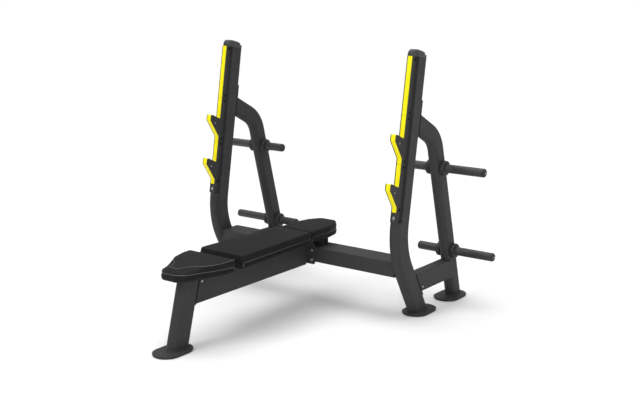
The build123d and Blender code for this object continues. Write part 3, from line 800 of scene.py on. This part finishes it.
def finish_pad(name, rings, seams, edges):
    """Swells, sews and welts one pad, and hands it over.

    The foam is cut crisp along edges, which the cover follows with no seam.
    """
    pad = pad_core(name + "_cushion", rings)
    stuff_pad(pad, sewn_by(seams + edges))
    sewn = [soft_line(on_cover(pad, line)) for line in seams]
    press_seams(pad, sewn)
    for i, line in enumerate(sewn):
        welt = add_tube(f"{name}_welt_{i + 1}", on_cover(pad, line), WELT_RADIUS, 2)
        smooth(welt, 60)
        # The welt's lighter finish paints a highlight along the seam
        hand_over(welt, "pad_leather", material=WELT_PAINTED_HIGHLIGHT_FINISH)
    smooth(pad, 80)
    hand_over(pad, "pad_leather", [name + "_pad"])


def make_seat():
    """The seat, with a narrower top panel whose edge is sewn above the side seam."""
    seam = sloping(*SEAT_SEAM_SLOPE)
    upper = sloping(*SEAT_TOP_SLOPE)
    rings = [(pad_ring(SEAT_SIDE, SIDE_CORNER, inset), level(height))
             for inset, height in SEAT_ROLL]
    rings.append((pad_ring(SEAT_SIDE, SIDE_CORNER, 3), seam))
    flank = mixed_ring(pad_ring(SEAT_SIDE, 0.008, 2.5),
                       pad_ring(SEAT_TOP, TOP_CORNER, 2.5), 0.5)
    rings.append((flank, sloping(*SEAT_FLANK_SLOPE)))
    rings.append((pad_ring(SEAT_TOP, TOP_CORNER, 2.5), upper))
    upper_line = [Vector((p.x, p.y, upper(p))) for p in pad_ring(SEAT_TOP, TOP_CORNER)]
    upper_line.append(upper_line[0].copy())
    lower_line = u_seam(pad_ring(SEAT_SIDE, SIDE_CORNER), seam, SEAT_SEAM_REAR)
    creases = [[top.to_3d() + Vector((0, 0, upper(top))),
                side.to_3d() + Vector((0, 0, seam(side)))] for top, side in seat_creases()]
    finish_pad("seat", rings, [upper_line, lower_line], creases)


def seat_creases():
    """Fold lines of the nose, each from the top panel's edge to the widest outline."""
    folds = []
    for top, side in zip(SEAT_TOP, SEAT_SIDE[:3]):
        for sign in (1, -1):
            folds.append((Vector((sign * top[0], top[1])) / 1000,
                          Vector((sign * side[0], side[1])) / 1000))
    return folds


def make_back():
    """The back pad, with a seam along each long side."""
    side = pad_ring(BACK_SIDE, BOX_CORNER)
    seam = level(BACK_SEAM)
    seams = []
    for sign in (1, -1):
        half = [p for p in side if p.x * sign > 0.1]
        seams.append(side_seam(half, seam, BACK_SEAM_ROWS))
    finish_pad("back", box_rings(BACK_SIDE, BACK_TOP), seams,
               foam_edges(BACK_SIDE, BACK_TOP))


def make_head():
    """The head pad, whose seam runs round its rear end, so it is drawn back to front."""
    flipped = [Vector((p.x, -p.y)) for p in pad_ring(HEAD_SIDE, BOX_CORNER)]
    seam = u_seam(flipped, level(HEAD_SEAM), -HEAD_SEAM_FRONT)
    seam = [Vector((p.x, -p.y, p.z)) for p in seam]
    finish_pad("head", box_rings(HEAD_SIDE, HEAD_TOP), [seam],
               foam_edges(HEAD_SIDE, HEAD_TOP))


def box_rings(points, top):
    """Rings of a box-shaped pad: the roll, then the foam's edge cut in below the top."""
    shape = BOX_ROLL + ((EDGE_INSET, top - EDGE_DROP), (EDGE_INSET + 2.5, top - 4.5),
                        (EDGE_INSET + 6.5, top - 3))
    return [(pad_ring(points, BOX_CORNER, inset), level(height)) for inset, height in shape]


def foam_edges(points, top):
    """The closed line where the top of the foam turns into its side."""
    ring = pad_ring(points, BOX_CORNER, EDGE_INSET)
    line = [Vector((p.x, p.y, (top - EDGE_DROP) / 1000)) for p in ring]
    return [line + [line[0].copy()]]


# ---- Rounded copies of the moulded and cut parts ------------------------------------------

def depth_in_upright(point):
    """How far a point lies in front of the axis of the uprights' leaning run."""
    return (BEND.y - point.y) * cos(LEAN) + (point.z - BEND.z) * sin(LEAN)


def round_long_edges(piece, least_depth, radius, segments):
    """Rounds the edges along both sides of a profile, in front of a depth."""

    def long_edge(edge):
        first, second = (vert.co for vert in edge.verts)
        if abs(first.x - second.x) > 0.00005 or not edge.is_manifold:
            return False
        if min(depth_in_upright(first), depth_in_upright(second)) <= least_depth:
            return False
        return edge.calc_face_angle() > radians(55)

    select_parts(piece, "EDGE", long_edge)
    bpy.ops.mesh.bevel(offset=radius, segments=segments, affect="EDGES",
                       clamp_overlap=False)
    bpy.ops.object.mode_set(mode="OBJECT")


def welded_copy(node):
    """A CAD node again, as one welded mesh of large faces."""
    mesh = frame["nodes"][node].data.copy()
    piece = bpy.data.objects.new(node + "_finished", mesh)
    scene.collection.objects.link(piece)
    pick(piece)
    bpy.ops.object.mode_set(mode="EDIT")
    bpy.ops.mesh.select_all(action="SELECT")
    bpy.ops.mesh.remove_doubles(threshold=0.00002)
    bpy.ops.mesh.customdata_custom_splitnormals_clear()
    bpy.ops.mesh.dissolve_limited(angle_limit=radians(1.0))
    bpy.ops.object.mode_set(mode="OBJECT")
    return piece


# The depth in front of which long edges are rounded, the radius, and its steps
LINER_EDGES = (0.056, 0.0042, 4)
PLATE_EDGES = (0.030, 0.0008, 2)
ROUNDED_PARTS = {
    "bar_liner_bottom": LINER_EDGES,
    "bar_liner_middle": LINER_EDGES,
    "bar_liner_top": LINER_EDGES,
    "catch_plate_outer": PLATE_EDGES,
    "catch_plate_inner": PLATE_EDGES,
}


def round_parts():
    """Rounded edges, as geometry, on the liners and plates of the catches."""
    for node, shape in ROUNDED_PARTS.items():
        for side, _ in SIDES:
            name = f"{node}_{side}"
            piece = welded_copy(name)
            round_long_edges(piece, *shape)
            smooth(piece)
            hand_over(piece, SLOT_OF[name], [name])


# ---- Caps of the uprights ------------------------------------------------------------------

CAP_SEAT = 0.955        # height of the upright's cut end along its leaning run
CAP_REAR = -0.030       # middle of the round rear end, in depth
CAP_FRONT = 0.034       # middle of the round front end
CAP_RADIUS = 0.030
CAP_BASE = 0.016        # height of the rim
# The crown's middle line from front to rear: depth and height
CAP_CREST = ((0.063, 0.019), (0.060, 0.0255), (0.054, 0.031), (0.045, 0.0345),
             (0.032, 0.0362), (0.016, 0.0360), (0.000, 0.0346), (-0.016, 0.0322),
             (-0.030, 0.0292), (-0.040, 0.0262))
FACET_START = 0.62      # where a side facet begins, as a share of the half width
FACET_FALL = 0.0110     # drop of its outer edge
CAP_COLUMNS = (-1.0, -FACET_START, 0.0, FACET_START, 1.0)
CROWN_REAR_HALF = 0.0195
CROWN_WIDENING = 0.0085     # how much wider the front is to each side
CROWN_STEP = (0.002, 0.010)     # depth where the widening begins, and its length


def add_cap_base(name):
    """The flat-oval rim of a cap, as wide and deep as the upright with its catch."""
    bpy.ops.mesh.primitive_cylinder_add(vertices=64, radius=CAP_RADIUS, depth=CAP_BASE,
                                        location=(0, 0, CAP_BASE / 2))
    rim = bpy.context.object
    rim.name = name
    apply_place(rim)
    for side, reach in ((1, CAP_FRONT), (-1, CAP_REAR)):
        select_parts(rim, "VERT",
                     lambda vert: 0.0001 < vert.co.y * side < CAP_RADIUS + 0.0001)
        bpy.ops.transform.translate(value=(0, reach, 0))
        bpy.ops.object.mode_set(mode="OBJECT")
    select_parts(rim, "FACE", looks_up)
    bpy.ops.mesh.inset(thickness=0.0012, depth=0.0)
    bpy.ops.mesh.inset(thickness=0.0030, depth=0.0)
    bpy.ops.object.mode_set(mode="OBJECT")
    apply_modifier(rim, "BEVEL", width=0.0045, segments=4, limit_method="ANGLE",
                   angle_limit=radians(60))
    return rim


def crown_point(share, depth, height):
    """Place on the crown at a share of its half width and a point of its crest."""
    step_start, step_length = CROWN_STEP
    front = min(max((depth - step_start) / step_length, 0), 1)
    half = CROWN_REAR_HALF + CROWN_WIDENING * front
    round_end = max(0.0, depth - CAP_FRONT) / CAP_RADIUS
    half *= max(0.25, 1 - round_end ** 2) ** 0.5
    past_crease = max(0.0, abs(share) - FACET_START) / (1 - FACET_START)
    fall = FACET_FALL * front * past_crease
    return share * half, depth, max(CAP_BASE + 0.0005, height - fall)


def add_cap_crown(name):
    """The domed crown on a cap's rim: a facet each side in front, an upright wall behind."""
    bpy.ops.mesh.primitive_grid_add(x_subdivisions=len(CAP_COLUMNS) - 1,
                                    y_subdivisions=len(CAP_CREST) - 1, size=2)
    crown = bpy.context.object
    crown.name = name
    across = sorted({round(v.co.x, 4) for v in crown.data.vertices})
    along = sorted({round(v.co.y, 4) for v in crown.data.vertices}, reverse=True)
    for vertex in crown.data.vertices:
        column = across.index(round(vertex.co.x, 4))
        row = along.index(round(vertex.co.y, 4))
        vertex.co = crown_point(CAP_COLUMNS[column], *CAP_CREST[row])
    pick(crown)
    bpy.ops.object.mode_set(mode="EDIT")
    bpy.ops.mesh.select_all(action="SELECT")
    bpy.ops.mesh.extrude_region_move()
    bpy.ops.object.mode_set(mode="OBJECT")
    for vertex in crown.data.vertices:
        if vertex.select:
            vertex.co.z = CAP_BASE - 0.003
    turn_outwards(crown)
    apply_modifier(crown, "BEVEL", width=0.0018, segments=3, limit_method="ANGLE",
                   angle_limit=radians(24))
    return crown


def make_caps():
    for side, sign in SIDES:
        rim = add_cap_base(f"cap_{side}")
        crown = add_cap_crown(f"cap_crown_{side}")
        pick(rim)
        crown.select_set(True)
        bpy.ops.object.join()
        onto_upright = Matrix(((1, 0, 0, sign * RACK),
                               (0, -cos(LEAN), sin(LEAN), BEND.y),
                               (0, sin(LEAN), cos(LEAN), BEND.z),
                               (0, 0, 0, 1)))
        rim.data.transform(onto_upright @ Matrix.Translation((0, 0, CAP_SEAT)))
        turn_outwards(rim)
        smooth(rim)
        hand_over(rim, "black_plastic", [f"upright_cap_{side}"])


# ---- Weld beads and small fittings -----------------------------------------------------------

WELD_RADIUS = 0.0042
WELD_STEP = 0.0035      # spacing of the bead's points
WELD_RIPPLE = 0.14      # share of the radius by which every third point swells


def foot_section(name, height):
    """Outline of a tube's outer skin where it meets its foot plate, as ordered points."""
    tube = frame["nodes"][name].data
    low = [v.co.xy.copy() for v in tube.vertices if abs(v.co.z - height) < 0.0002]
    middle = sum(low, Vector((0, 0))) / len(low)
    rim = {}
    for point in low:
        reach = point - middle
        step = round(atan2(reach.y, reach.x) / radians(6))
        if step not in rim or reach.length > (rim[step] - middle).length:
            rim[step] = point
    return [rim[step] for step in sorted(rim)]


def ripple(i):
    """Swell of a weld bead's point, which repeats every three points."""
    return 1.0 + WELD_RIPPLE * sin(i * 2 * pi / 3)


def add_weld_beads():
    """A closed bead round the foot of each tube, with the ripple of a hand-run weld."""
    feet = {"front_leg": "front_leg_foot"}
    for side, _ in SIDES:
        feet[f"front_upright_{side}"] = f"upright_foot_{side}"
        feet[f"rear_leg_{side}"] = f"rear_foot_{side}"
    for tube, foot in feet.items():
        outline = foot_section(tube, PLATE_TOP)
        around = sum((point - outline[i - 1]).length for i, point in enumerate(outline))
        ring = even_outline(outline, max(90, round(around / WELD_STEP)))
        line = [(p.x, p.y, PLATE_TOP) for p in ring]
        bead = add_tube(foot + "_weld", line, WELD_RADIUS, 3, closed=True, swell=ripple)
        smooth(bead, 70)
        hand_over(bead, "frame_coat")


def add_peg_rivets():
    """The domed rivet in the middle of each peg's end cap."""
    radius = 0.0042
    length = 0.003
    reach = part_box("peg_end_caps")[1].x - 0.0006
    for row in ("lower", "upper"):
        low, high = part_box(f"plate_peg_{row}_right")
        middle = (low + high) / 2
        for side, sign in SIDES:
            bpy.ops.mesh.primitive_cylinder_add(
                vertices=28, radius=radius, depth=length,
                location=(sign * reach, middle.y, middle.z),
                rotation=(0, sign * pi / 2, 0))
            rivet = bpy.context.object
            rivet.name = f"{row}_peg_rivet_{side}"
            select_parts(rivet, "FACE", looks_up)
            bpy.ops.mesh.inset(thickness=0.0012, depth=0.0006)
            bpy.ops.mesh.inset(thickness=0.0010, depth=0.0002)
            bpy.ops.object.mode_set(mode="OBJECT")
            apply_place(rivet)
            smooth(rivet, 50)
            hand_over(rivet, "bright_steel")


# ---- The whole bench --------------------------------------------------------------------

deselect()
add_camera()
add_floor()
add_lights()
dress_frame()
make_seat()
make_back()
make_head()
round_parts()
make_caps()
add_weld_beads()
add_peg_rivets()
